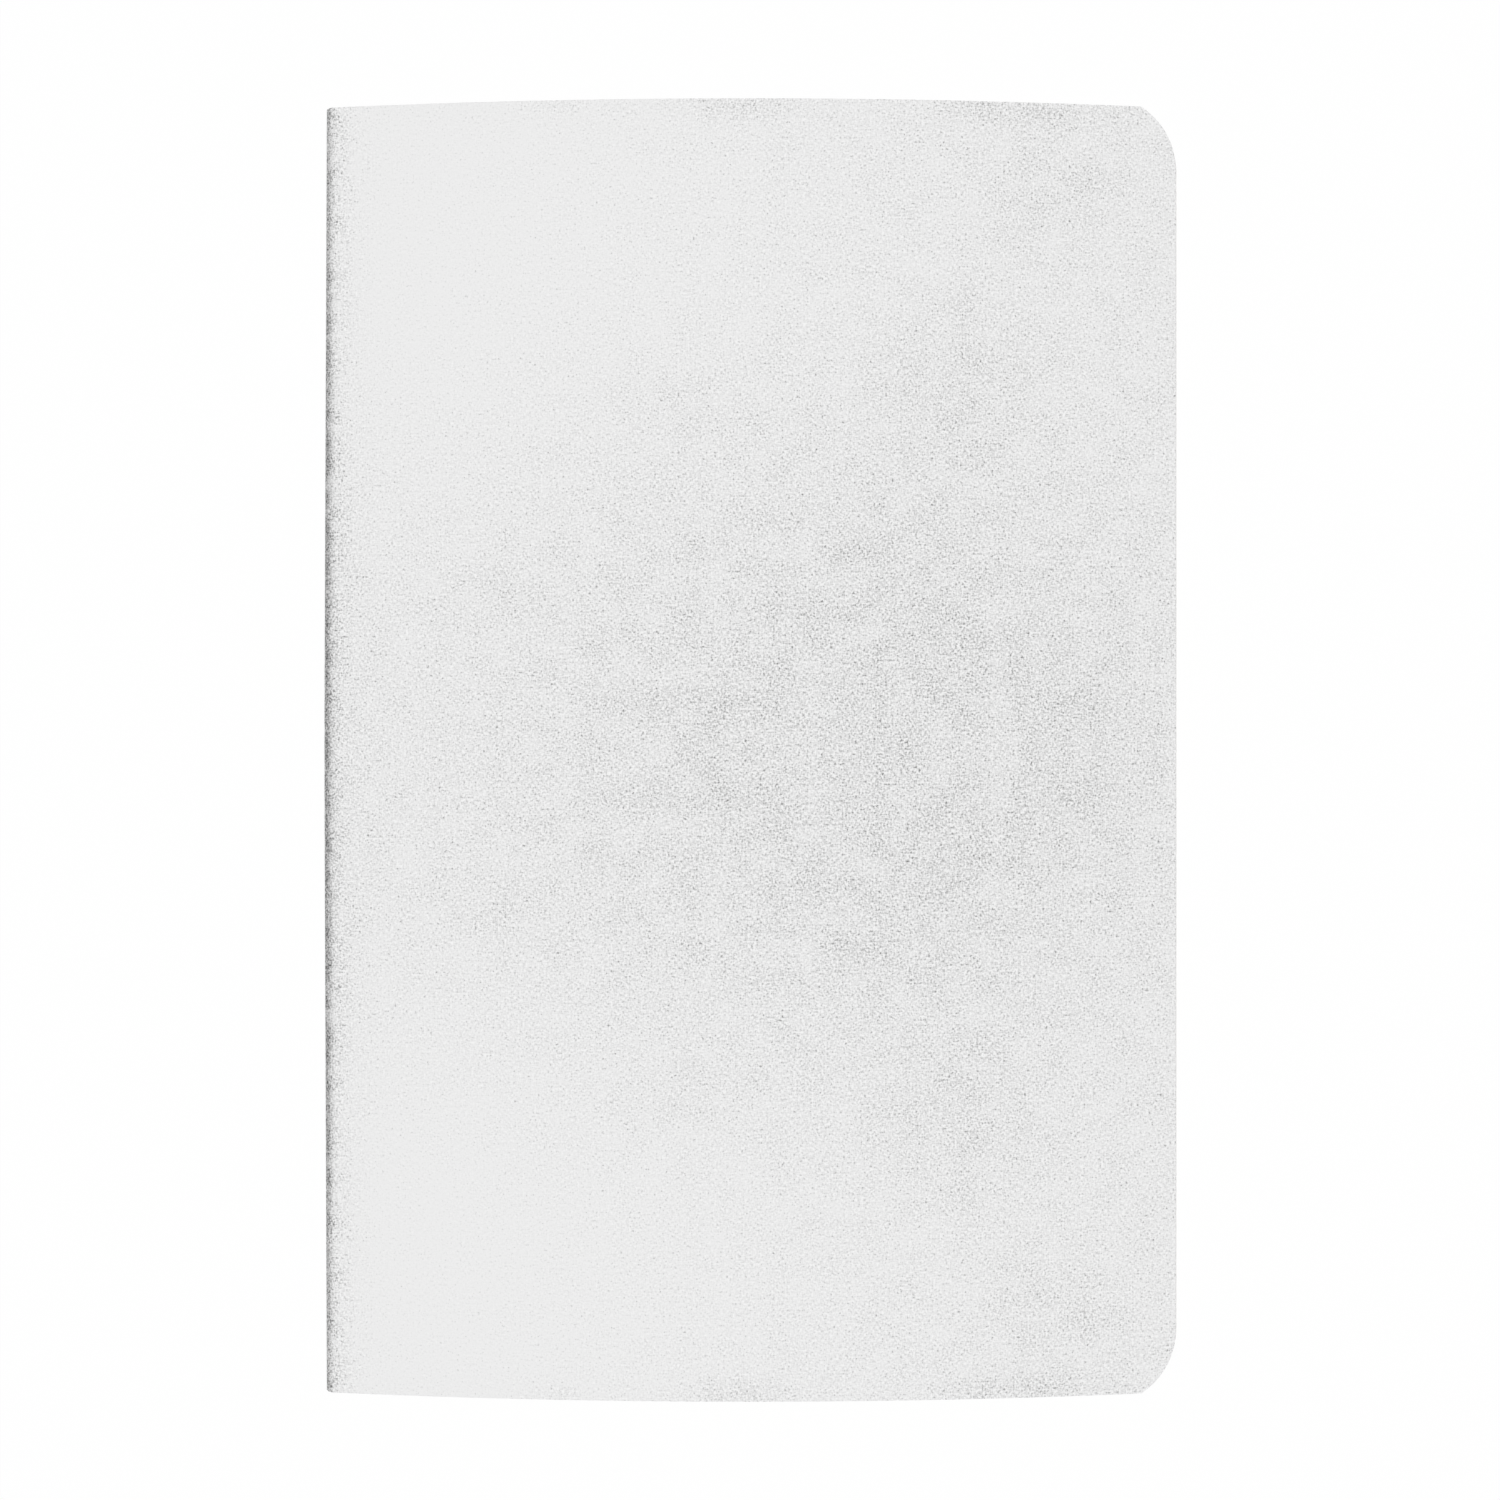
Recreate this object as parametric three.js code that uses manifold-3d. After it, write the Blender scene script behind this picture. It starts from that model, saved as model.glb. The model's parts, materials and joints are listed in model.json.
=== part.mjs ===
// A thread-sewn paper journal, closed and lying on its back cover. Millimetres, +Z up.
// +X runs from the spine to the fore edge and +Y to the head. The origin is at the centre of the base.
// One card cover and twelve paper sheets are folded round the same axis, which every leaf turns about.
import * as THREE from "three";
import { mergeVertices } from "three/addons/utils/BufferGeometryUtils.js";
import Module from "manifold-3d";

const wasm = await Module();
wasm.setup();

// Format
const journal_width = 140; // from the thread on the spine to the fore edge of the back cover
const journal_height = 209.5; // from tail to head
const corner_radius = 11.8; // the two corners at the fore edge
const corner_shift = 1.6; // the head and tail edges cut each corner arc this far before its top

// Card and paper
const cover_thickness = 0.4;
const paper_thickness = 0.12;
const sheet_count = 12; // each sheet makes two leaves
const gutter_height = 0.48; // clear height inside the innermost fold
const fold_gap = 0.01; // between nested folds
const fore_gap = 0.013; // between panels at the fore edge
const front_dome = 5; // how far the closed front cover arches up
const dome_power = 1.7; // how the arch builds up from the back cover to the front one

// Sewing thread
const thread_diameter = 0.3;
const thread_proud = 0.12; // how far a stitch stands out of the card
const thread_clearance = 0.04;
const stitch_length = 6.1;
const stitch_margin = 4; // from head and tail to the last needle hole, at least
const hole_width = 0.5;
const dip_sharpness = 12; // how steeply a stitch drops into its needle hole

// Clearance of everything that turns about the fold
const hinge_gap = 0.1;

// Facets
const panel_steps = 16;
const fold_steps = 8;
const corner_steps = 6;
const steps_per_stitch = 6;
const thread_sides = 6;

// Worked out from the sizes above. Lengths from here on are measured from the fold axis.
const front_rank = 2 * sheet_count + 1; // panels are ranked upwards, from the back cover, 0
const leaf_count = 2 * sheet_count;
const cover_inner_radius = gutter_height / 2 + sheet_count * (paper_thickness + fold_gap);
const cover_outer_radius = cover_inner_radius + cover_thickness;
const thread_radius = thread_diameter / 2;
const stub_radius = cover_outer_radius + thread_proud; // all that stays still lies within this circle
const sweep_radius = stub_radius + hinge_gap; // all that turns stays outside this one
const fore_edge_x = journal_width - stub_radius;
const stitch_count = Math.floor((journal_height - 2 * stitch_margin) / stitch_length);
const sewn_length = stitch_count * stitch_length;
const past = journal_width / 10; // how far a cutting tool runs past what it cuts

const card = new THREE.MeshStandardMaterial({ color: 0xececec, roughness: 0.85, metalness: 0 });
const paper = new THREE.MeshStandardMaterial({ color: 0xf3f2ee, roughness: 0.9, metalness: 0 });
const thread = new THREE.MeshStandardMaterial({ color: 0xf2f2f0, roughness: 0.7, metalness: 0 });

// Inner radius of a folded sheet, 1 being the outermost
function sheet_inner_radius(sheet) {
  return gutter_height / 2 + (sheet_count - sheet) * (paper_thickness + fold_gap);
}

// Height of a panel's underside where it leaves the fold
function height_at_fold(rank) {
  if (rank === 0) return -cover_outer_radius;
  if (rank === front_rank) return cover_inner_radius;
  if (rank > sheet_count) return sheet_inner_radius(front_rank - rank);
  return -sheet_inner_radius(rank) - paper_thickness;
}

// Height of a panel's underside at the fore edge
function height_at_fore_edge(rank) {
  if (rank === 0) return -cover_outer_radius;
  const pitch = paper_thickness + fore_gap;
  return -cover_outer_radius + cover_thickness + fore_gap + (rank - 1) * pitch;
}

// How far a panel arches up halfway between the fold and the fore edge
function panel_dome(rank) {
  return front_dome * (rank / front_rank) ** dome_power;
}

// Height of a panel's underside at a distance x from the fold axis
function underside(rank, x) {
  const along = x / fore_edge_x;
  const straight = THREE.MathUtils.lerp(height_at_fold(rank), height_at_fore_edge(rank), along);
  return straight + 4 * panel_dome(rank) * along * (1 - along);
}

// An arched panel is as long as a flat one, so its fore edge is drawn back
function panel_end(rank) {
  return fore_edge_x - (8 * panel_dome(rank) ** 2) / (3 * fore_edge_x);
}

// The point where a panel's surface, a given height above its underside, leaves a circle round the axis
function point_on_circle(rank, above, radius) {
  let inside = 0;
  let outside = 2 * radius;
  for (let halving = 0; halving < 40; halving++) {
    const middle = (inside + outside) / 2;
    if (Math.hypot(middle, underside(rank, middle) + above) < radius) inside = middle;
    else outside = middle;
  }
  return new THREE.Vector2(inside, underside(rank, inside) + above);
}

// A closed profile in X and Z, drawn out from tail to head
function drawn_from_tail_to_head(points) {
  const settings = { depth: journal_height, bevelEnabled: false };
  const geometry = new THREE.ExtrudeGeometry(new THREE.Shape(points), settings);
  return geometry.rotateX(Math.PI / 2).translate(0, journal_height / 2, 0);
}

function solid_of(geometry) {
  const bare = geometry.clone().deleteAttribute("normal").deleteAttribute("uv");
  const merged = mergeVertices(bare);
  const mesh = new wasm.Mesh({
    numProp: 3,
    vertProperties: merged.attributes.position.array,
    triVerts: new Uint32Array(merged.index.array),
  });
  return new wasm.Manifold(mesh);
}

function geometry_of(solid) {
  const { vertProperties, triVerts, numProp } = solid.getMesh();
  const geometry = new THREE.BufferGeometry();
  geometry.setAttribute("position", new THREE.BufferAttribute(vertProperties, numProp));
  geometry.setIndex(new THREE.BufferAttribute(triVerts, 1));
  geometry.computeVertexNormals();
  return geometry;
}

// A block with the journal's outline and its rounded corners at a given fore edge
function outline_block(end) {
  const arc_x = end - corner_radius;
  const arc_y = journal_height / 2 + corner_shift - corner_radius;
  const edge_angle = Math.asin((corner_radius - corner_shift) / corner_radius);
  const outline = new THREE.Shape();
  outline.moveTo(0, journal_height / 2);
  outline.lineTo(0, -journal_height / 2);
  outline.absarc(arc_x, -arc_y, corner_radius, -edge_angle, 0, false);
  outline.absarc(arc_x, arc_y, corner_radius, 0, edge_angle, false);
  const settings = { depth: 2 * past, bevelEnabled: false, curveSegments: corner_steps };
  return new THREE.ExtrudeGeometry(outline, settings).translate(0, 0, -past);
}

// The lower or upper surface of a panel, from the sweep circle to the fore edge
function panel_surface(rank, above) {
  const end = panel_end(rank);
  const points = [point_on_circle(rank, above, sweep_radius)];
  for (let step = 1; step < panel_steps; step++) {
    const x = (step / panel_steps) * fore_edge_x;
    points.push(new THREE.Vector2(x, underside(rank, x) + above));
  }
  points.push(new THREE.Vector2(end, underside(rank, end) + above));
  return points;
}

// A leaf or a cover panel
function make_panel(name, rank, thickness, material) {
  const profile = [...panel_surface(rank, 0), ...panel_surface(rank, thickness).reverse()];
  const sheet = solid_of(drawn_from_tail_to_head(profile));
  const trimmed = sheet.intersect(solid_of(outline_block(panel_end(rank))));
  return named_mesh(name, geometry_of(trimmed), material);
}

// Points on the spine side of the fold, from the lower panel round to the upper one
function fold_arc(radius) {
  const points = [];
  for (let step = 0; step <= fold_steps; step++) {
    const angle = -Math.PI / 2 - (step / fold_steps) * Math.PI;
    points.push(new THREE.Vector2(radius * Math.cos(angle), radius * Math.sin(angle)));
  }
  return points;
}

// The part of a sheet that stays still: its fold, with the beginnings of its lower and upper panels
function fold_geometry(inner_radius, thickness, lower_rank) {
  const upper_rank = front_rank - lower_rank;
  const profile = [
    point_on_circle(lower_rank, 0, stub_radius),
    ...fold_arc(inner_radius + thickness),
    point_on_circle(upper_rank, thickness, stub_radius),
    point_on_circle(upper_rank, 0, stub_radius),
    ...fold_arc(inner_radius).reverse(),
    point_on_circle(lower_rank, thickness, stub_radius),
  ];
  return drawn_from_tail_to_head(profile);
}

function named_mesh(name, geometry, material) {
  const mesh = new THREE.Mesh(geometry, material);
  mesh.name = name;
  return mesh;
}

// The line of stitches along the spine: flat between the needle holes, and down into each of them
class StitchLine extends THREE.Curve {
  getPoint(along, target = new THREE.Vector3()) {
    const on_card = -cover_outer_radius - thread_proud + thread_radius;
    const in_hole = -cover_inner_radius - thread_clearance - thread_radius;
    const dip = Math.cos(Math.PI * along * stitch_count) ** dip_sharpness;
    const x = THREE.MathUtils.lerp(on_card, in_hole, dip);
    return target.set(x, (along - 0.5) * sewn_length, 0);
  }
}

function round_section(radius) {
  const points = [];
  for (let side = 0; side < thread_sides; side++) {
    const angle = (2 * Math.PI * side) / thread_sides;
    points.push(new THREE.Vector2(radius * Math.cos(angle), radius * Math.sin(angle)));
  }
  return new THREE.Shape(points);
}

// The thread's lower half with its clearance, open to the outside of the card
function groove_section() {
  const radius = thread_radius + thread_clearance;
  const points = [];
  for (let side = 0; side <= thread_sides / 2; side++) {
    const angle = -Math.PI + (2 * Math.PI * side) / thread_sides;
    points.push(new THREE.Vector2(radius * Math.cos(angle), radius * Math.sin(angle)));
  }
  points.push(new THREE.Vector2(radius, cover_thickness));
  points.push(new THREE.Vector2(-radius, cover_thickness));
  return new THREE.Shape(points);
}

// A section drawn along the stitches, its +Y side facing out of the card
function drawn_along_stitches(section) {
  const line = new StitchLine();
  line.arcLengthDivisions = stitch_count * steps_per_stitch;
  const settings = { steps: line.arcLengthDivisions, extrudePath: line };
  return new THREE.ExtrudeGeometry(section, settings);
}

function needle_hole(y) {
  const depth = cover_thickness + 2 * hole_width;
  const block = new THREE.BoxGeometry(depth, hole_width, hole_width);
  return block.translate(-cover_inner_radius - cover_thickness / 2, y, 0);
}

// The spine strip of the cover, with the groove of the stitches and a hole at each end of a stitch
function make_cover_spine() {
  let strip = solid_of(fold_geometry(cover_inner_radius, cover_thickness, 0));
  strip = strip.subtract(solid_of(drawn_along_stitches(groove_section())));
  for (let hole = 0; hole <= stitch_count; hole++) {
    const y = (hole / stitch_count - 0.5) * sewn_length;
    strip = strip.subtract(solid_of(needle_hole(y)));
  }
  return named_mesh("cover_spine", geometry_of(strip), card);
}

// The thread's inner run, straight along the gutter of the middle opening
function make_fold_thread() {
  const seat = -gutter_height / 2 + thread_radius + thread_clearance;
  const settings = { depth: sewn_length, bevelEnabled: false };
  const run = new THREE.ExtrudeGeometry(round_section(thread_radius), settings);
  run.rotateX(Math.PI / 2).translate(seat, sewn_length / 2, 0);
  return named_mesh("fold_thread", run, thread);
}

function numbered(name, number) {
  return `${name}_${String(number).padStart(2, "0")}`;
}

// The fixed body: back cover, spine strip, sheet folds and thread, all on the fold axis
const bound_spine = new THREE.Group();
bound_spine.position.set(stub_radius - journal_width / 2, 0, cover_outer_radius);
bound_spine.add(make_panel("cover_back", 0, cover_thickness, card));
bound_spine.add(make_cover_spine());
bound_spine.add(named_mesh("spine_thread", drawn_along_stitches(round_section(thread_radius)), thread));
bound_spine.add(make_fold_thread());
for (let sheet = 1; sheet <= sheet_count; sheet++) {
  const fold = fold_geometry(sheet_inner_radius(sheet), paper_thickness, sheet);
  bound_spine.add(named_mesh(numbered("sheet_fold", sheet), fold, paper));
}

// Each leaf turns about the fold axis and carries all that lies on it, up to the front cover
let carrier = bound_spine;
for (let leaf = leaf_count; leaf >= 1; leaf--) {
  const turning = new THREE.Group();
  turning.add(make_panel(numbered("leaf", leaf), front_rank - leaf, paper_thickness, paper));
  carrier.add(turning);
  carrier = turning;
}
carrier.add(make_panel("cover_front", front_rank, cover_thickness, card));

const journal = new THREE.Group();
journal.add(bound_spine);

export default journal;
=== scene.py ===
import json
import math
import random

import bpy
import numpy as np
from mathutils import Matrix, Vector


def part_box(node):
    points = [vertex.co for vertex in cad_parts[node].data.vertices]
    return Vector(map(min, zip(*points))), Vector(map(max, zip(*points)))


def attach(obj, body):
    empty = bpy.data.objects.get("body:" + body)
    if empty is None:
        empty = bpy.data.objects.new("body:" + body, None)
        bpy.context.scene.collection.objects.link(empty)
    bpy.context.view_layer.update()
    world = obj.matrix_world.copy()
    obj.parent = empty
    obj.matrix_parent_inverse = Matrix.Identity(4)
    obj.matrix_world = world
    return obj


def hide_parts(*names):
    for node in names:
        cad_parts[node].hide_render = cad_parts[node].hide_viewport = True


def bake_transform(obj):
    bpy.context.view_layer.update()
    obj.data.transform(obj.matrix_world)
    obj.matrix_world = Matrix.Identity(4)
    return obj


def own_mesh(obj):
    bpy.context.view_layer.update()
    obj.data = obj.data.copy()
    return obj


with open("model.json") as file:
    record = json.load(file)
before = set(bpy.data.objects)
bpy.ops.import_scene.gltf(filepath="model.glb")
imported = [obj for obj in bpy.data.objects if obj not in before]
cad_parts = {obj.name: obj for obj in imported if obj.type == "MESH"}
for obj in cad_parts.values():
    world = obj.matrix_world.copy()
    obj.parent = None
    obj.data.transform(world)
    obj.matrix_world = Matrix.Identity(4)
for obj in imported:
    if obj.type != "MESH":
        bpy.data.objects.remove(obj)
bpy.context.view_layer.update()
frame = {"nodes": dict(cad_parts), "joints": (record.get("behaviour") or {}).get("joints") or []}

# A thin thread-sewn journal in a pale, speckled, soft cover, seen from straight above.
# Lengths are in millimetres from the fold axis: +x to the fore edge, +y to the head, +z up.
# Meshes are in metres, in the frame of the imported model.

MM = 0.001
random.seed(24)

# Sizes that the frame gives
FOLD_X, _, FOLD_Z = frame["joints"][0]["pos_m"]
BACK_LOW, BACK_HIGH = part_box("cover_back")
THREAD_LOW, THREAD_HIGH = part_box("spine_thread")
HALF_HEIGHT = BACK_HIGH.y / MM
CARD = (BACK_HIGH.z - BACK_LOW.z) / MM
PANEL_LENGTH = (BACK_HIGH.x - FOLD_X) / MM
COVER_OUTER_RADIUS = FOLD_Z / MM
HALF_TURN = math.pi * COVER_OUTER_RADIUS  # length of the spine's outside, from the front cover to the back
THREAD_OUTSIDE = (FOLD_X - THREAD_LOW.x) / MM
SEWN_LENGTH = (THREAD_HIGH.y - THREAD_LOW.y) / MM
LEAF_COUNT = sum(name.startswith("leaf_") for name in frame["nodes"])
SHEET_COUNT = LEAF_COUNT // 2
FRONT_RANK = LEAF_COUNT + 1  # panels are ranked upwards, from the back cover, 0

# Sizes that the solids are made with
PAPER = 0.12
FOLD_GAP = 0.01
FORE_GAP = 0.013
GUTTER = 0.48
FRONT_DOME = 5.0
DOME_POWER = 1.7
CORNER_RADIUS = 11.8
CORNER_SHIFT = 1.6
THREAD_RADIUS = 0.15
THREAD_CLEARANCE = 0.04
STITCH_COUNT = 33

# Finer shapes
SPINE_INSET = 0.14  # the spine is drawn in this far at mid-height, for the stitches to lie in
SPINE_BOW = 0.42  # and this much further at head and tail
BOW_LENGTH = 12.0  # the bow is round this close to mid-height, and straight beyond
SPLIT_HEIGHT = 1.08 * GUTTER / 2  # the middle of each fold bends up to this height from the fold axis
STEEPEST_SPLIT = 0.9  # as the sine of its angle
CARD_ROUNDING = 0.08  # softened rims of the cut card
PAPER_ROUNDING = 0.02
RIM_INSETS = (2, 1, 0.3, 0)  # rows and columns along a cut edge, in roundings from it
LEAF_SHORTFALL = 0.06  # leaves are cut up to this much short of the card
DOME_SCATTER = 0.25  # share of its distance to the next leaf that a leaf's arch may stray
RIPPLE_SHARE = 0.2  # share of that distance that a leaf waves in
RIPPLE_LENGTHS = (70, 130)
LEAF_TONES = (0.965, 1.0)
GROOVE_DEPTH = 0.10  # the thread presses this far into the card
GROOVE_WIDTH = 0.17
GROOVE_END = 0.6  # the groove fades out over this length past the last hole
DENT_FADE = 0.3  # dents fade out over this share of the bend's half height
HOLE_DEPTH = 0.26
HOLE_WIDTH = 0.30
DIP_SHARPNESS = 18  # how steeply a stitch drops into its needle hole
TWIST_PITCH = 0.9
PLY_BULGE = 0.12  # how far the two plies bulge, as a share of the thread's radius
BLUNT_END = 0.05  # what is left of the thread's width at its very ends, squared

# Facets
PANEL_STEPS = 28
FOLD_CROWDING = 1.25  # columns of a panel are closer together near the fold
ROW_STEPS = 44
CORNER_STEPS = 14
ARC_STEP = 0.16
ROWS_FROM_HOLE = (0, 0.08, 0.16, 0.26, 0.4, 0.7, 1.4)
ROWS_FROM_END = (1, 2)
TWIST_STEPS = 10
THREAD_SIDES = 12
SHARP_EDGE = math.radians(60)

# The camera of the photograph stands straight above. The bow of the head edge gives its height.
CAMERA_HEIGHT = 344.0
LENS = 50
SENSOR = 36

# Light
AMBIENT = 0.25
LAMP_WIDTH = math.radians(50)
FLOOR_REACH = 4000
FLOOR_DROP = 0.02  # the floor lies this far below the journal
FLOOR_COLOUR = (0.88, 0.88, 0.88, 1)
FLOOR_GLOW = 0.965
WHITE = (1, 1, 1, 1)

# Grain. Scales of noise are features to the millimetre
STROKE_SPREAD = 6.0  # brings the sum of two noises to a spread of about 1

# The card's tone is worked out as it is seen, and made linear for the shader at the end
WHITE_CARD = 236 / 255
DARKEST, LIGHTEST = 0.45, 0.96
SPECK_SCALE = 2.75
SPECK_STRETCH = 1.35
SPECK_CONTRAST = 0.072
SPINE_CONTRAST = 0.05  # what near the spine adds to it
PIT_START = 0.8  # specks further than this below the mean are darker still
PIT_DARKNESS = 0.085
SOOT_DARKNESS = 0.045  # what dense speckle takes off the tone as a whole
SOOT_POWER = 1.4
MOST_SPECKLE = 1.7
INSIDE_SPECKLE = 0.25  # share of the speckle that the card's inside has
SIDE_FADE = (0.2, 0.8)  # of the mark that is 0 on the card's inside and 1 on its outside
CARD_RELIEF = 0.008
CARD_BUMP_SCALE = 5.0

# Where the speckle is even: x on the front, distance from the fold on the back, and its density at both ends
FRONT_EVEN_REACH = (-60, 50)
FRONT_EVEN = (0.09, 0.54)
BACK_EVEN_REACH = (20, 120)
BACK_EVEN = (0.0, 0.4)
DRIFT_SCALE = 0.2
DRIFT_RANGE = (0.33, 0.67)  # of the noise
DRIFT = (0.55, 1.45)

# Wear round the spine, and painted shade in the creases along both its sides. Places are distances from the
# spine's middle along the card
WEAR_SCALE = 0.45
WEAR_RANGE = (0.25, 0.75)  # of the noise
MOST_WEAR = 2.0
WORN_PLACE = 1.0
WORN_REACH = 2.4
WORN_DENSITY = 1.6
# Painted shade in the creases along both sides of the spine: where it lies, how wide and how deep it is, and
# how the specks and the wear make it uneven
CREASE_SHADE_PLACE = 1.75
CREASE_SHADE_WIDTH = 1.15
CREASE_SHADE_DEPTH = 0.47  # share of the tone that the painted crease shade takes
CREASE_SHADE_SPECKS = 0.2  # how much a speck changes the painted crease shade
CREASE_SHADE_WEAR = 0.5  # and how much the wear does
END_REACH = (40, 100)  # from mid-height: between these the wear and the painted crease shade turn to those at head and tail
END_SPECKLE = 1.4
END_CREASE_SHADE = 0.6

# Where the speckle is denser than its even part.
# Each cloud: x and distance from mid-height of its middle, half width, half height, added density
FRONT_CLOUDS = [
    (-5, 0, 100, 72, 0.60),
    (34, 60, 16, 18, 0.24),
    (24, 30, 16, 10, 0.12),
    (54, 7, 12, 12, 0.14),
    (36, 14, 16, 12, 0.14),
    (-5, 5, 13, 10, 0.12),
    (-12, 57, 12, 7, 0.12),
    (-40, 25, 12, 8, 0.12),
    (49, 90, 13, 13, 0.22),
    (45, 104, 22, 4, 0.35),
    (-3, 104, 12, 4, 0.45),
    (-32, 104, 7, 2, 0.25),
]
# On the back cover, guessed
BACK_CLOUDS = [
    (0, 20, 90, 70, 0.50),
    (44, 88, 26, 18, 0.26),
    (-44, 96, 22, 12, 0.22),
]
CLOUD_RIM = 1.2  # a cloud fades out here, in its half widths
CLOUD_CORE = 0.1  # and is full from here inwards

# Paper
PAPER_COLOUR = (0.885, 0.872, 0.845)
PAPER_TONE = 0.965
FIBRE_SCALE = 1.9
FIBRE_STRETCH = 2.2
FIBRE_CONTRAST = 0.02
PAPER_CLOUD_SCALE = 0.25
PAPER_CLOUD_CONTRAST = 0.03
PAPER_RELIEF = 0.012
LEAF_SPACING = 3.7  # how far apart the grain of two leaves is taken from the noise

# Thread
THREAD_FIBRES = (1.2, 9.0, 1.0)  # drawn out along the plies
THREAD_SCALE = 2.0
THREAD_RANGE = (0.3, 0.7)  # of the noise
THREAD_TONES = (0.72, 0.9)
THREAD_RELIEF = 0.02


# Camera, light and floor

def link(data_block):
    bpy.context.scene.collection.objects.link(data_block)
    return data_block


def make_camera():
    data = bpy.data.cameras.new("photo_camera")
    data.lens = LENS
    data.sensor_width = SENSOR
    data.clip_start = 10 * MM
    camera = link(bpy.data.objects.new("photo_camera", data))
    camera.location = (0, 0, CAMERA_HEIGHT * MM)
    bpy.context.scene.camera = camera


class Tree:
    """Adds shader nodes in one short call each. An input is a number, a colour or another node's socket."""

    def __init__(self, tree):
        self.tree = tree
        tree.nodes.clear()

    def add(self, kind, inputs=None, **settings):
        node = self.tree.nodes.new(kind)
        for key, value in settings.items():
            setattr(node, key, value)
        for key, value in (inputs or {}).items():
            if isinstance(value, bpy.types.NodeSocket):
                self.tree.links.new(value, node.inputs[key])
            else:
                node.inputs[key].default_value = value
        return node

    def math(self, operation, *values):
        return self.add("ShaderNodeMath", dict(enumerate(values)), operation=operation).outputs[0]

    def vector(self, operation, *values):
        node = self.add("ShaderNodeVectorMath", dict(enumerate(values)), operation=operation)
        return node.outputs["Value" if operation == "LENGTH" else "Vector"]

    def flat(self, x, y):
        return self.add("ShaderNodeCombineXYZ", {"X": x, "Y": y}).outputs[0]

    def ramp(self, value, reach, result, kind="SMOOTHSTEP"):
        """Runs between the two results while value runs through reach, and stays there outside."""
        inputs = {"Value": value, "From Min": reach[0], "From Max": reach[1],
                  "To Min": result[0], "To Max": result[1]}
        return self.add("ShaderNodeMapRange", inputs, interpolation_type=kind).outputs["Result"]

    def noise(self, place, scale, detail=2.0, roughness=0.5):
        """Cloudy noise from about 0.2 to 0.8, with features of 1 / scale."""
        inputs = {"Vector": place, "Scale": scale, "Detail": detail, "Roughness": roughness}
        return self.add("ShaderNodeTexNoise", inputs).outputs[0]

    def attribute(self, name, output="Fac"):
        return self.add("ShaderNodeAttribute", attribute_name=name).outputs[output]

    def path_is(self, *kinds):
        """1 for rays of these kinds and 0 for others."""
        outputs = self.add("ShaderNodeLightPath").outputs
        total = outputs[kinds[0]]
        for kind in kinds[1:]:
            total = self.math("MAXIMUM", total, outputs[kind])
        return total


def seen_directly(tree):
    return tree.path_is("Is Camera Ray", "Is Glossy Ray", "Is Transmission Ray")


def make_world():
    """Soft light from all round. What is seen of the world itself is white."""
    world = bpy.data.worlds.new("studio")
    world.use_nodes = True
    bpy.context.scene.world = world
    tree = Tree(world.node_tree)
    strength = tree.ramp(seen_directly(tree), (0.0, 1.0), (AMBIENT, 1.0), "LINEAR")
    background = tree.add("ShaderNodeBackground", {"Color": WHITE, "Strength": strength})
    tree.add("ShaderNodeOutputWorld", {"Surface": background.outputs[0]})


def make_lamp():
    """One wide soft lamp straight above, which with the world makes up full daylight."""
    data = bpy.data.lights.new("overhead", "SUN")
    data.energy = math.pi * (1 - AMBIENT)
    data.angle = LAMP_WIDTH
    link(bpy.data.objects.new("overhead", data))


def new_material(name):
    material = bpy.data.materials.new(name)
    material.use_nodes = True
    return material, Tree(material.node_tree)


def make_floor():
    """White floor. Its own glow is only what the camera sees of it, and the rest of it takes the shadow."""
    mesh = bpy.data.meshes.new("floor")
    reach = FLOOR_REACH * MM
    corners = [(-reach, -reach, 0), (reach, -reach, 0), (reach, reach, 0), (-reach, reach, 0)]
    mesh.from_pydata(corners, [], [(0, 1, 2, 3)])
    floor = link(bpy.data.objects.new("floor", mesh))
    floor.location.z = -FLOOR_DROP * MM
    material, tree = new_material("floor_white")
    matt = tree.add("ShaderNodeBsdfDiffuse", {"Color": FLOOR_COLOUR})
    glow = tree.add("ShaderNodeEmission", {"Color": WHITE, "Strength": 1.0})
    share = tree.math("MULTIPLY", seen_directly(tree), FLOOR_GLOW)
    mixed = tree.add("ShaderNodeMixShader", {0: share, 1: matt.outputs[0], 2: glow.outputs[0]})
    tree.add("ShaderNodeOutputMaterial", {"Surface": mixed.outputs[0]})
    mesh.materials.append(material)


# Materials. A point's place holds where it lies on the unfolded sheet and on which side.

def grey(tree, value):
    return tree.add("ShaderNodeCombineColor", {"Red": value, "Green": value, "Blue": value}).outputs[0]


def finish_surface(tree, colour, relief, relief_depth, roughness, specular):
    bump = tree.add("ShaderNodeBump", {"Height": relief, "Distance": relief_depth * MM})
    inputs = {"Base Color": colour, "Roughness": roughness, "Specular IOR Level": specular,
              "Normal": bump.outputs[0]}
    shader = tree.add("ShaderNodeBsdfPrincipled", inputs)
    tree.add("ShaderNodeOutputMaterial", {"Surface": shader.outputs[0]})


def strokes(tree, place, scale, stretch):
    """Specks that are drawn out along x in one layer and along y in another. Mean 0, spread about 1."""
    flat = tree.vector("MULTIPLY", place, (1 / stretch, stretch, 1))
    upright = tree.vector("MULTIPLY", place, (stretch, 1 / stretch, 1))
    layers = [tree.noise(layer, scale, detail=1.0) for layer in (flat, upright)]
    return tree.math("MULTIPLY_ADD", tree.math("ADD", *layers), STROKE_SPREAD, -STROKE_SPREAD)


def bell(tree, value, middle, width):
    """1 at the middle, and falls off to both sides."""
    offset = tree.math("MULTIPLY_ADD", value, 1 / width, -middle / width)
    return tree.math("EXPONENT", tree.math("MULTIPLY", tree.math("MULTIPLY", offset, offset), -1.0))


def to_linear(tree, tone):
    """From a tone as it is seen to the linear value that a shader takes."""
    return tree.math("POWER", tree.math("MULTIPLY_ADD", tone, 1 / 1.055, 0.055 / 1.055), 2.4)


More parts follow.
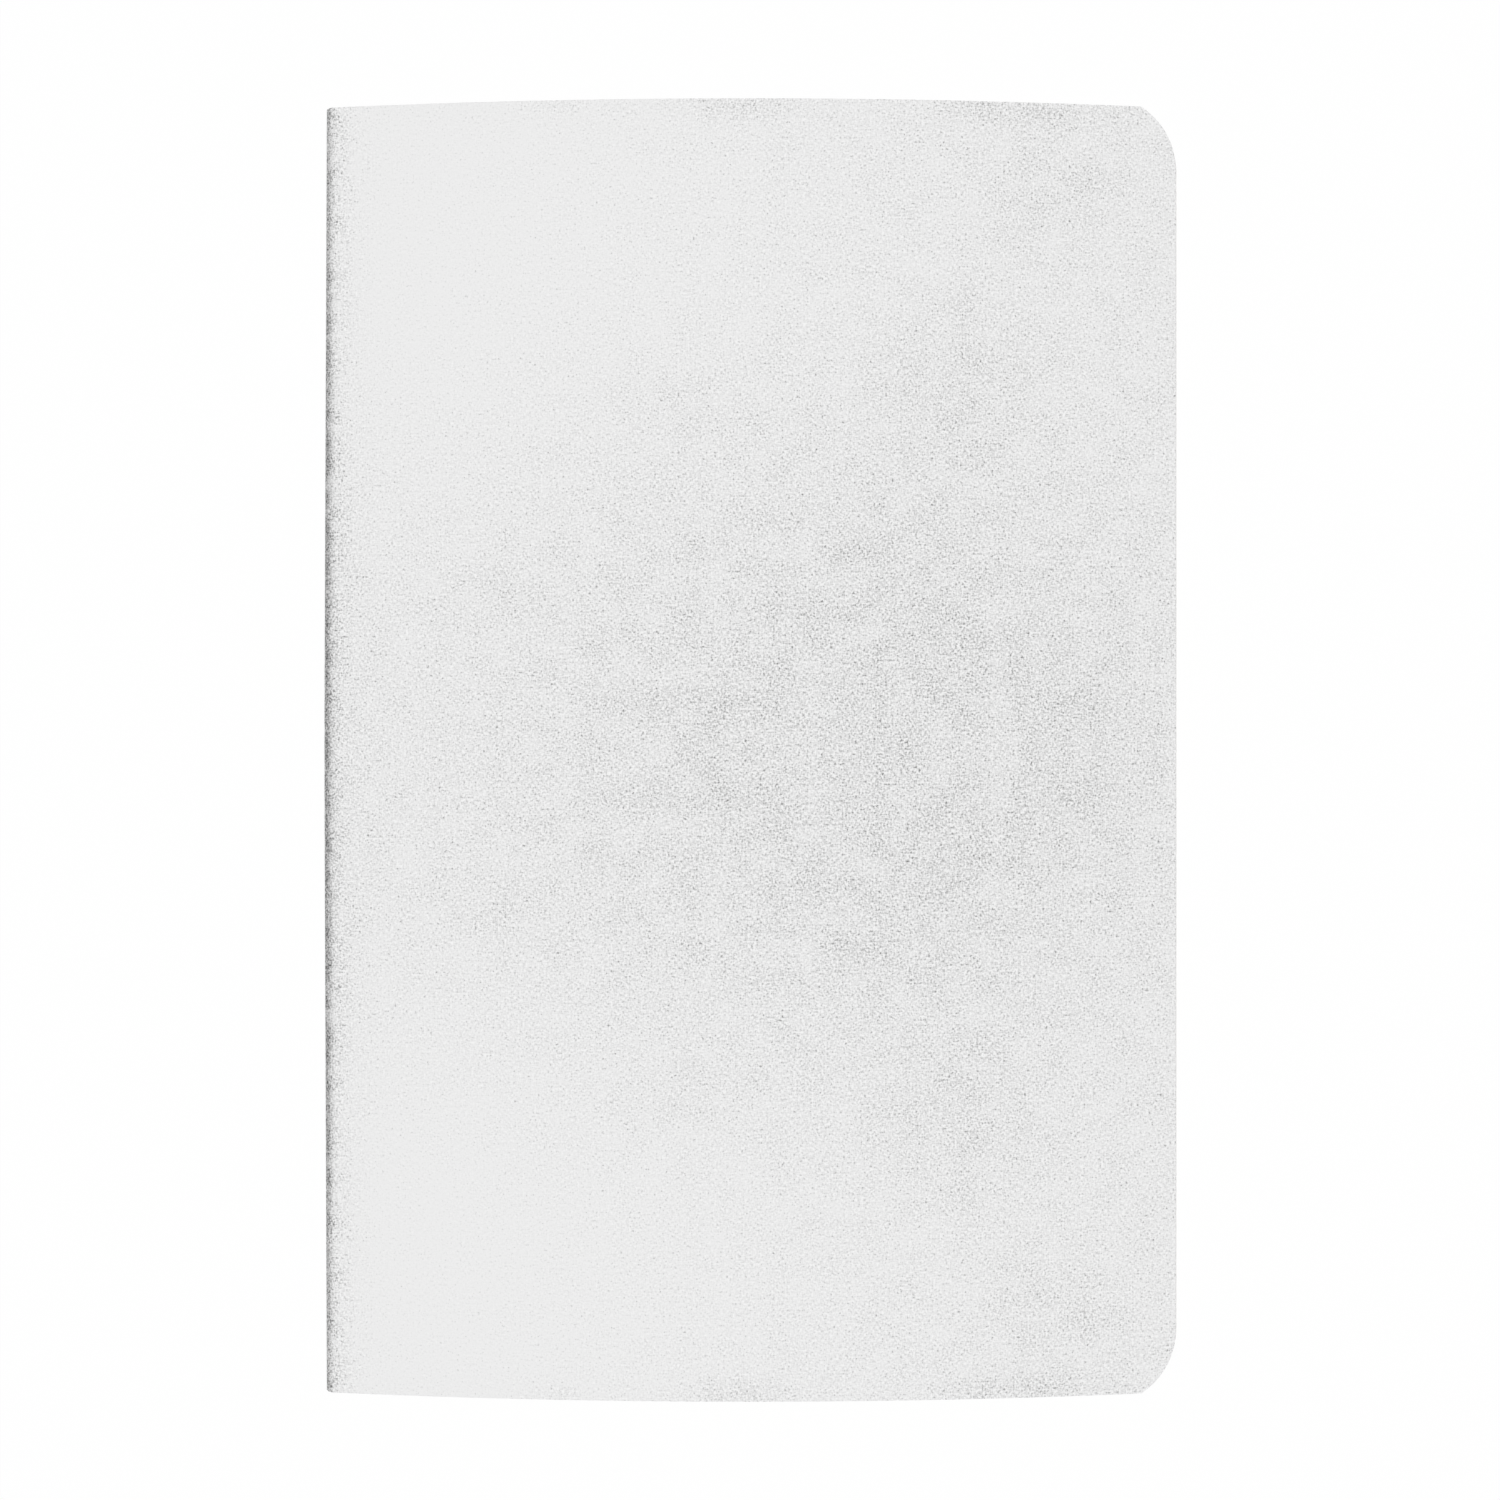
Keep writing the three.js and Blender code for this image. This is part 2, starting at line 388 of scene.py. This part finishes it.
def along_front(x):
    """Where x on the front cover lies along the unfolded card."""
    return x - FOLD_X / MM


def along_back(x):
    return -HALF_TURN - along_front(x)


def add_clouds(tree, mirrored, clouds, along_card):
    """Sum of soft round clouds. along_card turns x into a place along the card."""
    total = 0.0
    for x, y, half_width, half_height, weight in clouds:
        offset = tree.vector("SUBTRACT", mirrored, (along_card(x), y, 0))
        shrunk = tree.vector("DIVIDE", offset, (half_width, half_height, 1))
        cloud = tree.ramp(tree.vector("LENGTH", shrunk), (CLOUD_RIM, CLOUD_CORE), (0.0, weight))
        total = tree.math("ADD", cloud, total)
    return total


def speckle_density(tree, mirrored, along, worn):
    """How strong the speckle is: even but rising to the fore edge, with clouds, and strong where worn."""
    even = tree.ramp(along, [along_front(x) for x in FRONT_EVEN_REACH], FRONT_EVEN)
    back_even = tree.ramp(along, [-HALF_TURN - distance for distance in BACK_EVEN_REACH], BACK_EVEN)
    front = add_clouds(tree, mirrored, FRONT_CLOUDS, along_front)
    back = add_clouds(tree, mirrored, BACK_CLOUDS, along_back)
    density = tree.math("ADD", tree.math("ADD", even, back_even), tree.math("ADD", front, back))
    density = tree.math("MULTIPLY_ADD", worn, WORN_DENSITY, density)
    drifting = tree.noise(mirrored, DRIFT_SCALE, detail=5.0, roughness=0.7)
    return tree.math("MULTIPLY", density, tree.ramp(drifting, DRIFT_RANGE, DRIFT, "LINEAR"))


def speckled_tone(tree, specks, density, near_spine):
    """Tone of the card as it is seen: specks about white, the dark ones darker still, and soot among them."""
    contrast = tree.math("MULTIPLY_ADD", near_spine, SPINE_CONTRAST, SPECK_CONTRAST)
    lighter = tree.math("MULTIPLY", specks, tree.math("MULTIPLY", density, contrast))
    pits = tree.math("MAXIMUM", tree.math("MULTIPLY_ADD", specks, -1.0, -PIT_START), 0.0)
    pits = tree.math("MULTIPLY", pits, pits)
    pits = tree.math("MULTIPLY", pits, tree.math("MULTIPLY", tree.math("SQRT", density), -PIT_DARKNESS))
    soot = tree.math("MULTIPLY", tree.math("POWER", density, SOOT_POWER), -SOOT_DARKNESS)
    tone = tree.math("ADD", tree.math("ADD", lighter, pits), tree.math("ADD", soot, WHITE_CARD))
    return tree.ramp(tone, (DARKEST, LIGHTEST), (DARKEST, LIGHTEST), "LINEAR")


def painted_crease_shade(tree, specks, wear, from_spine, from_middle):
    """Painted shade: the share of the tone that is left in the crease along both sides of the spine, made
    uneven by the specks and the wear.
    """
    share_of_wear = tree.math("MULTIPLY_ADD", wear, CREASE_SHADE_WEAR, 1 - CREASE_SHADE_WEAR)
    uneven = tree.math("MULTIPLY_ADD", specks, -CREASE_SHADE_SPECKS, share_of_wear)
    painted_shade = tree.math("MULTIPLY", bell(tree, from_spine, CREASE_SHADE_PLACE, CREASE_SHADE_WIDTH), uneven)
    painted_shade = tree.math("MULTIPLY", painted_shade, tree.ramp(from_middle, END_REACH, (1.0, END_CREASE_SHADE)))
    return tree.math("MULTIPLY_ADD", painted_shade, -CREASE_SHADE_DEPTH, 1.0)


def card_material():
    """Pale matt card. Specks of a third of a millimetre gather in soft clouds on its outside, mirrored about
    mid-height. It is more speckled and unevenly worn round the spine, which darkens it there, and it has
    painted shade in the creases along both sides of the spine."""
    material, tree = new_material("speckled_card")
    place = tree.attribute("place", "Vector")
    along, height, outside = tree.add("ShaderNodeSeparateXYZ", {0: place}).outputs
    from_middle = tree.math("ABSOLUTE", height)
    flat_place = tree.flat(along, height)
    mirrored = tree.flat(along, from_middle)
    from_spine = tree.math("ABSOLUTE", tree.math("ADD", along, HALF_TURN / 2))

    wearing = tree.noise(mirrored, WEAR_SCALE, detail=3.0, roughness=0.6)
    wear = tree.ramp(wearing, WEAR_RANGE, (0.0, MOST_WEAR), "LINEAR")
    from_worn = tree.math("ABSOLUTE", tree.math("SUBTRACT", from_spine, WORN_PLACE))
    near_spine = tree.math("EXPONENT", tree.math("MULTIPLY", from_worn, -1 / WORN_REACH))
    wear_here = tree.math("MULTIPLY", wear, tree.ramp(from_middle, END_REACH, (1.0, END_SPECKLE)))
    worn = tree.math("MULTIPLY", near_spine, wear_here)
    density = speckle_density(tree, mirrored, along, worn)
    density = tree.math("MULTIPLY", density, tree.ramp(outside, SIDE_FADE, (INSIDE_SPECKLE, 1.0)))
    density = tree.math("MINIMUM", density, MOST_SPECKLE)

    specks = strokes(tree, flat_place, SPECK_SCALE, SPECK_STRETCH)
    tone = to_linear(tree, speckled_tone(tree, specks, density, near_spine))
    # Painted shade in the creases along both sides of the spine darkens the tone here.
    tone = tree.math("MULTIPLY", tone, painted_crease_shade(tree, specks, wear, from_spine, from_middle))
    bumps = tree.noise(flat_place, CARD_BUMP_SCALE, detail=3.0)
    relief = tree.math("MULTIPLY_ADD", specks, density, bumps)
    finish_surface(tree, grey(tree, tone), relief, CARD_RELIEF, roughness=0.82, specular=0.25)
    return material


def paper_material():
    """Uncoated off-white paper with short fibres. Each leaf has a slightly different tone."""
    material, tree = new_material("journal_paper")
    place = tree.attribute("place", "Vector")
    fibres = strokes(tree, place, FIBRE_SCALE, FIBRE_STRETCH)
    clouds = tree.noise(place, PAPER_CLOUD_SCALE, detail=3.0)
    tone = tree.math("MULTIPLY_ADD", fibres, FIBRE_CONTRAST, PAPER_TONE)
    tone = tree.math("MULTIPLY_ADD", clouds, PAPER_CLOUD_CONTRAST, tone)
    leaf_tone = tree.math("MULTIPLY", tree.attribute("tone"), tone)
    tinted = tree.add("ShaderNodeVectorMath", {0: PAPER_COLOUR, "Scale": leaf_tone}, operation="SCALE")
    finish_surface(tree, tinted.outputs[0], fibres, PAPER_RELIEF, roughness=0.9, specular=0.2)
    return material


def thread_material():
    """White twisted thread with fine fibres that follow the twist."""
    material, tree = new_material("sewing_thread")
    place = tree.attribute("place", "Vector")
    drawn_out = tree.vector("MULTIPLY", place, THREAD_FIBRES)
    fibres = tree.noise(drawn_out, THREAD_SCALE, detail=2.0, roughness=0.6)
    tone = tree.ramp(fibres, THREAD_RANGE, THREAD_TONES)
    finish_surface(tree, grey(tree, tone), fibres, THREAD_RELIEF, roughness=0.75, specular=0.2)
    return material


# The shape of the sheets

def lerp(start, end, share):
    return start + (end - start) * share


def is_leaf(rank):
    return 0 < rank < FRONT_RANK


def is_front(rank):
    return rank > SHEET_COUNT


def fold_radius(rank):
    """Radius of a panel's fold at mid-thickness."""
    if not is_leaf(rank):
        return COVER_OUTER_RADIUS - CARD / 2
    sheet = min(rank, FRONT_RANK - rank)
    return GUTTER / 2 + (SHEET_COUNT - sheet) * (PAPER + FOLD_GAP) + PAPER / 2


def thickness_of(rank):
    return PAPER if is_leaf(rank) else CARD


def height_at_fold(rank):
    return fold_radius(rank) if is_front(rank) else -fold_radius(rank)


def height_at_fore_edge(rank):
    if rank == 0:
        return height_at_fold(0)
    underside = -COVER_OUTER_RADIUS + CARD + FORE_GAP + (rank - 1) * (PAPER + FORE_GAP)
    return underside + thickness_of(rank) / 2


def even_dome(rank):
    return FRONT_DOME * (rank / FRONT_RANK) ** DOME_POWER


def dome_room(rank):
    """How far a panel's arch is from the one above it."""
    return even_dome(rank + 1) - even_dome(rank)


def panel_end(rank):
    """An arched panel is as long as a flat one, so its fore edge is drawn back."""
    return PANEL_LENGTH - 8 * even_dome(rank) ** 2 / (3 * PANEL_LENGTH)


class Panel:
    """A cover panel or leaf: how high it lies, where it ends, and its own small irregularities."""

    def __init__(self, rank):
        self.rank = rank
        self.thickness = thickness_of(rank)
        leaf = is_leaf(rank)
        room = dome_room(rank) if leaf else 0
        self.dome = even_dome(rank) + room * random.uniform(-DOME_SCATTER, DOME_SCATTER)
        self.ripple = room * RIPPLE_SHARE
        self.wave = random.uniform(*RIPPLE_LENGTHS)
        self.phase = random.uniform(0, 2 * math.pi)
        self.end = panel_end(rank) - (random.uniform(0, LEAF_SHORTFALL) if leaf else 0)
        self.half_height = HALF_HEIGHT - (random.uniform(0, LEAF_SHORTFALL) if leaf else 0)
        self.rounding = PAPER_ROUNDING if leaf else CARD_ROUNDING
        self.tone = random.uniform(*LEAF_TONES)

    def height(self, x, y):
        """Height of mid-thickness."""
        along = x / PANEL_LENGTH
        straight = lerp(height_at_fold(self.rank), height_at_fore_edge(self.rank), along)
        waving = self.ripple * np.sin(2 * math.pi * y / self.wave + self.phase)
        return straight + 4 * along * (1 - along) * (self.dome + waving)

    def end_of_row(self, y, inset):
        """Where a row meets the outline with its rounded corners, drawn in by inset."""
        arc_y = HALF_HEIGHT + CORNER_SHIFT - CORNER_RADIUS
        over = np.maximum(0, np.abs(y) - arc_y)
        arc = np.sqrt((CORNER_RADIUS - inset) ** 2 - over**2)
        return self.end - CORNER_RADIUS + arc

    def from_outline(self, x, y):
        """Distance from the fore edge or from the arc of a corner."""
        past_x = x - (self.end - CORNER_RADIUS)
        past_y = np.abs(y) - (HALF_HEIGHT + CORNER_SHIFT - CORNER_RADIUS)
        in_corner = (past_x > 0) & (past_y > 0)
        return np.where(in_corner, CORNER_RADIUS - np.hypot(past_x, past_y), self.end - x)

    def insets(self):
        return [share * self.rounding for share in RIM_INSETS]


def split_angle(rank):
    """Half the angle of the part of a fold that bends when the journal opens at its middle."""
    return math.asin(min(STEEPEST_SPLIT, SPLIT_HEIGHT / fold_radius(rank)))


def drawn_in(y):
    """The spine is a little nearer to the fold axis towards head and tail."""
    bow = (np.hypot(y, BOW_LENGTH) - BOW_LENGTH) / (HALF_HEIGHT - BOW_LENGTH)
    return 1 - (SPINE_INSET + SPINE_BOW * bow) / COVER_OUTER_RADIUS


def panel_rows(panel):
    """Heights of the rows, closer together in the corners and at the rims."""
    arc_y = HALF_HEIGHT + CORNER_SHIFT - CORNER_RADIUS
    edge_angle = math.asin((CORNER_RADIUS - CORNER_SHIFT) / CORNER_RADIUS)
    upper = list(np.linspace(0, arc_y, ROW_STEPS // 2 + 1))
    corner_angles = np.linspace(0, edge_angle, CORNER_STEPS)[1:-1]
    upper += [arc_y + CORNER_RADIUS * math.sin(angle) for angle in corner_angles]
    upper += [panel.half_height - inset for inset in panel.insets()]
    upper = sorted(upper)
    return np.array([-y for y in reversed(upper[1:])] + upper)


class Grid:
    """Rows by columns of points at a sheet's mid-thickness, with the direction to its upper side,
    the place along the unfolded sheet and the distance from the sheet's cut edges."""

    def __init__(self, rows):
        self.rows = rows
        self.columns = []

    def add(self, x, z, normal_x, normal_z, along, rim):
        column = [x, z, normal_x, normal_z, along, rim]
        self.columns.append([np.broadcast_to(part, self.rows.shape) for part in column])

    def parts(self):
        """Each kind of value as an array of rows by columns."""
        return np.array(self.columns, float).transpose(1, 2, 0)


def add_arc(grid, radius, outer_radius, angles, side, row_rim):
    """Columns round the fold. side is 1 where the upper side faces out of the fold, and -1 where
    it faces in."""
    bow = drawn_in(grid.rows)
    for angle in angles:
        x = radius * math.cos(angle) * bow
        z = radius * math.sin(angle)
        along = -outer_radius * (angle - math.pi / 2)
        grid.add(x, z, side * math.cos(angle), side * math.sin(angle), along, row_rim)


def arc_angles(start, end, radius):
    steps = max(3, math.ceil(abs(end - start) * radius / ARC_STEP))
    return np.linspace(start, end, steps + 1)


def add_flat(grid, panel, row_rim):
    """Columns from the fold axis to the fore edge."""
    front = is_front(panel.rank)
    fold_outside = fold_radius(panel.rank) + panel.thickness / 2
    shares = np.linspace(0, 1, PANEL_STEPS + 1)[1:] ** FOLD_CROWDING
    ends = [panel.end_of_row(grid.rows, inset) for inset in panel.insets()]
    for x in [share * ends[0] for share in shares] + ends[1:]:
        z = panel.height(x, grid.rows)
        along = x if front else -math.pi * fold_outside - x
        grid.add(x, z, 0, 1, along, np.minimum(panel.from_outline(x, grid.rows), row_rim))


def rim_of_rows(rows, half_height):
    return half_height - np.abs(rows)


def panel_grid(panel):
    """A panel with its own part of the fold, from the split to the fore edge."""
    rows = panel_rows(panel)
    grid = Grid(rows)
    row_rim = rim_of_rows(rows, panel.half_height)
    radius = fold_radius(panel.rank)
    outside = radius + panel.thickness / 2
    split = split_angle(panel.rank)
    if is_front(panel.rank):
        angles = arc_angles(math.pi - split, math.pi / 2, radius)
        add_arc(grid, radius, outside, angles, 1, row_rim)
    else:
        angles = arc_angles(math.pi + split, 1.5 * math.pi, radius)
        add_arc(grid, radius, outside, angles, -1, row_rim)
    add_flat(grid, panel, row_rim)
    return grid


def fold_grid(panel, rows):
    """The middle of a fold, upwards from its lower split to its upper one."""
    grid = Grid(rows)
    radius = fold_radius(panel.rank)
    split = split_angle(panel.rank)
    angles = arc_angles(math.pi + split, math.pi - split, radius)
    row_rim = rim_of_rows(rows, panel.half_height)
    add_arc(grid, radius, radius + panel.thickness / 2, angles, 1, row_rim)
    return grid


def to_frame(x, y, z):
    """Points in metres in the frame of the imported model."""
    points = np.stack(np.broadcast_arrays(x, y, z), axis=-1)
    return points.reshape(-1, 3) * MM + np.array([FOLD_X, 0, FOLD_Z])


def grid_faces(row_count, column_count):
    """Closed sheet: its upper and lower side, and the walls between them."""
    upper = np.arange(row_count * column_count).reshape(row_count, column_count)
    lower = upper + row_count * column_count
    faces = []

    def strip(first, second, third, fourth):
        faces.extend(np.stack([first, second, third, fourth], axis=-1).reshape(-1, 4).tolist())

    strip(upper[:-1, :-1], upper[:-1, 1:], upper[1:, 1:], upper[1:, :-1])
    strip(lower[:-1, :-1], lower[1:, :-1], lower[1:, 1:], lower[:-1, 1:])
    strip(lower[0, :-1], lower[0, 1:], upper[0, 1:], upper[0, :-1])
    strip(upper[-1, :-1], upper[-1, 1:], lower[-1, 1:], lower[-1, :-1])
    strip(upper[:-1, 0], upper[1:, 0], lower[1:, 0], lower[:-1, 0])
    strip(lower[:-1, -1], lower[1:, -1], upper[1:, -1], upper[:-1, -1])
    return faces


def new_object(name, points, faces, material):
    mesh = bpy.data.meshes.new(name)
    mesh.from_pydata(points.tolist(), [], faces)
    mesh.shade_smooth()
    mesh.set_sharp_from_angle(angle=SHARP_EDGE)
    mesh.materials.append(material)
    return link(bpy.data.objects.new(name, mesh))


def set_attribute(obj, name, kind, values):
    attribute = obj.data.attributes.new(name, kind, "POINT")
    key = "vector" if kind == "FLOAT_VECTOR" else "value"
    attribute.data.foreach_set(key, np.asarray(values, np.float32).ravel())


def side_marks(rank, upper_faces_out):
    """Third value of the place, on the upper and the lower side. It tells the card's outside, 1, from its
    inside, 0, and each side of a leaf from all others."""
    marks = (1.0, 0.0) if upper_faces_out else (0.0, 1.0)
    return [mark + LEAF_SPACING * rank for mark in marks] if is_leaf(rank) else marks


def sheet_object(name, grid, panel, material, upper_faces_out, dent=0.0):
    """Gives a grid its thickness, with rounded cut edges. dent presses its upper side in."""
    x, z, normal_x, normal_z, along, rim = grid.parts()
    y = np.broadcast_to(grid.rows[:, None], x.shape)
    near = np.clip(panel.rounding - rim, 0, panel.rounding)
    half = panel.thickness / 2 - panel.rounding + np.sqrt(panel.rounding**2 - near**2)
    upper = to_frame(x + normal_x * (half - dent), y, z + normal_z * (half - dent))
    lower = to_frame(x - normal_x * half, y, z - normal_z * half)
    obj = new_object(name, np.concatenate([upper, lower]), grid_faces(*x.shape), material)
    marks = side_marks(panel.rank, upper_faces_out)
    places = [np.stack(np.broadcast_arrays(along, y, mark), axis=-1) for mark in marks]
    set_attribute(obj, "place", "FLOAT_VECTOR", np.stack(places))
    set_attribute(obj, "tone", "FLOAT", np.full(2 * rim.size, panel.tone))
    return obj


def needle_holes():
    return (np.arange(STITCH_COUNT + 1) / STITCH_COUNT - 0.5) * SEWN_LENGTH


def spine_rows(panel):
    """Rows of the card's spine, close together at each needle hole."""
    steps = np.array(ROWS_FROM_HOLE)
    offsets = np.concatenate([-steps[:0:-1], steps])
    around_holes = (needle_holes()[:, None] + offsets).ravel()
    between = needle_holes()[:-1] + SEWN_LENGTH / STITCH_COUNT / 2
    ends = [side * (panel.half_height - inset)
            for side in (-1, 1)
            for inset in (*panel.insets(), *ROWS_FROM_END)]
    return np.array(sorted([*around_holes, *between, *ends]))


def spine_dents(grid):
    """The groove that the thread presses into the card, and the needle holes."""
    _, z, _, _, _, _ = grid.parts()
    y = np.broadcast_to(grid.rows[:, None], z.shape)
    sewn = np.clip((SEWN_LENGTH / 2 + GROOVE_END - np.abs(y)) / GROOVE_END, 0, 1)
    groove = GROOVE_DEPTH * sewn * np.exp(-((z / GROOVE_WIDTH) ** 2))
    from_hole = np.min(np.abs(y[..., None] - needle_holes()), axis=-1)
    hole = np.exp(-((z / HOLE_WIDTH) ** 2) - (from_hole / HOLE_WIDTH) ** 2)
    edge = split_angle(FRONT_RANK) * fold_radius(FRONT_RANK)
    fade = np.clip((edge - np.abs(z)) / (DENT_FADE * edge), 0, 1)
    return fade * np.maximum(groove, HOLE_DEPTH * hole)


# The sewing thread

def thread_object(name, centre_x, material):
    """Two plies twisted together, along a line whose distance from the fold axis is centre_x(y)."""
    ring_count = round(SEWN_LENGTH * TWIST_STEPS)
    y = np.linspace(-SEWN_LENGTH / 2, SEWN_LENGTH / 2, ring_count)[:, None]
    turn = np.linspace(0, 2 * math.pi, THREAD_SIDES, endpoint=False)[None, :]
    twist = 2 * math.pi * y / TWIST_PITCH
    bulge = 1 + PLY_BULGE * np.cos(2 * (turn - twist))
    radius = THREAD_RADIUS / (1 + PLY_BULGE) * bulge
    from_end = (SEWN_LENGTH / 2 - np.abs(y)) / THREAD_RADIUS
    radius = radius * np.sqrt(np.clip(from_end, BLUNT_END, 1))
    x = centre_x(y) * drawn_in(y) + radius * np.cos(turn)
    points = to_frame(x, y, radius * np.sin(turn))
    rings = np.arange(ring_count * THREAD_SIDES).reshape(ring_count, THREAD_SIDES)
    following = np.roll(rings, -1, axis=1)
    sides = np.stack([rings[:-1], rings[1:], following[1:], following[:-1]], axis=-1)
    faces = sides.reshape(-1, 4).tolist() + [rings[0].tolist(), rings[-1][::-1].tolist()]
    obj = new_object(name, points, faces, material)
    around = np.broadcast_to((turn - twist) * THREAD_RADIUS, x.shape)
    along = np.broadcast_to(y, x.shape)
    place = np.stack([along, around, np.zeros(x.shape)], axis=-1)
    set_attribute(obj, "place", "FLOAT_VECTOR", place)
    return obj


def stitch_line(y):
    """The thread on the spine lies on the card and drops into each needle hole."""
    on_card = -THREAD_OUTSIDE + THREAD_RADIUS
    in_hole = -COVER_OUTER_RADIUS + CARD - THREAD_RADIUS
    along = (y / SEWN_LENGTH + 0.5) * STITCH_COUNT
    return lerp(on_card, in_hole, np.cos(math.pi * along) ** DIP_SHARPNESS)


def gutter_line(y):
    return np.full(y.shape, -GUTTER / 2 + THREAD_RADIUS + THREAD_CLEARANCE)


# Pieces on their bodies

def numbered(name, number):
    return f"{name}_{number:02d}"


def body_of_rank(rank):
    if is_leaf(rank):
        return numbered("leaf", FRONT_RANK - rank)
    return "front_cover" if rank else "back_cover"


def node_of_rank(rank):
    if is_leaf(rank):
        return body_of_rank(rank)
    return "cover_front" if rank else "cover_back"


def flatten_when_opened(obj):
    """Gives the panel a mesh of its own."""
    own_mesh(obj)


def make_panel(panel, material):
    name = node_of_rank(panel.rank) + "_sheet"
    obj = sheet_object(name, panel_grid(panel), panel, material, is_front(panel.rank))
    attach(obj, body_of_rank(panel.rank))
    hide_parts(node_of_rank(panel.rank))
    if is_front(panel.rank):
        flatten_when_opened(obj)


def bend_at_middle(obj):
    """Bakes the piece's transform into its mesh."""
    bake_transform(obj)


def make_fold(panel, node, material):
    is_card = panel.rank == FRONT_RANK
    rows = spine_rows(panel) if is_card else panel_rows(panel)
    grid = fold_grid(panel, rows)
    dent = spine_dents(grid) if is_card else 0.0
    obj = sheet_object(node + "_bend", grid, panel, material, True, dent)
    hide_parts(node)
    bend_at_middle(obj)


def make_thread(node, centre_x, material):
    obj = thread_object(node + "_twist", centre_x, material)
    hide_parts(node)
    bend_at_middle(obj)


def make_journal():
    card, paper, thread = card_material(), paper_material(), thread_material()
    panels = [Panel(rank) for rank in range(FRONT_RANK + 1)]
    for panel in panels:
        if is_leaf(panel.rank):
            make_panel(panel, paper)
        else:
            make_panel(panel, card)
    make_fold(panels[FRONT_RANK], "cover_spine", card)
    for sheet in range(1, SHEET_COUNT + 1):
        make_fold(panels[FRONT_RANK - sheet], numbered("sheet_fold", sheet), paper)
    make_thread("spine_thread", stitch_line, thread)
    make_thread("fold_thread", gutter_line, thread)


make_camera()
bpy.context.scene.view_settings.view_transform = "Standard"
make_world()
make_lamp()
make_floor()
make_journal()
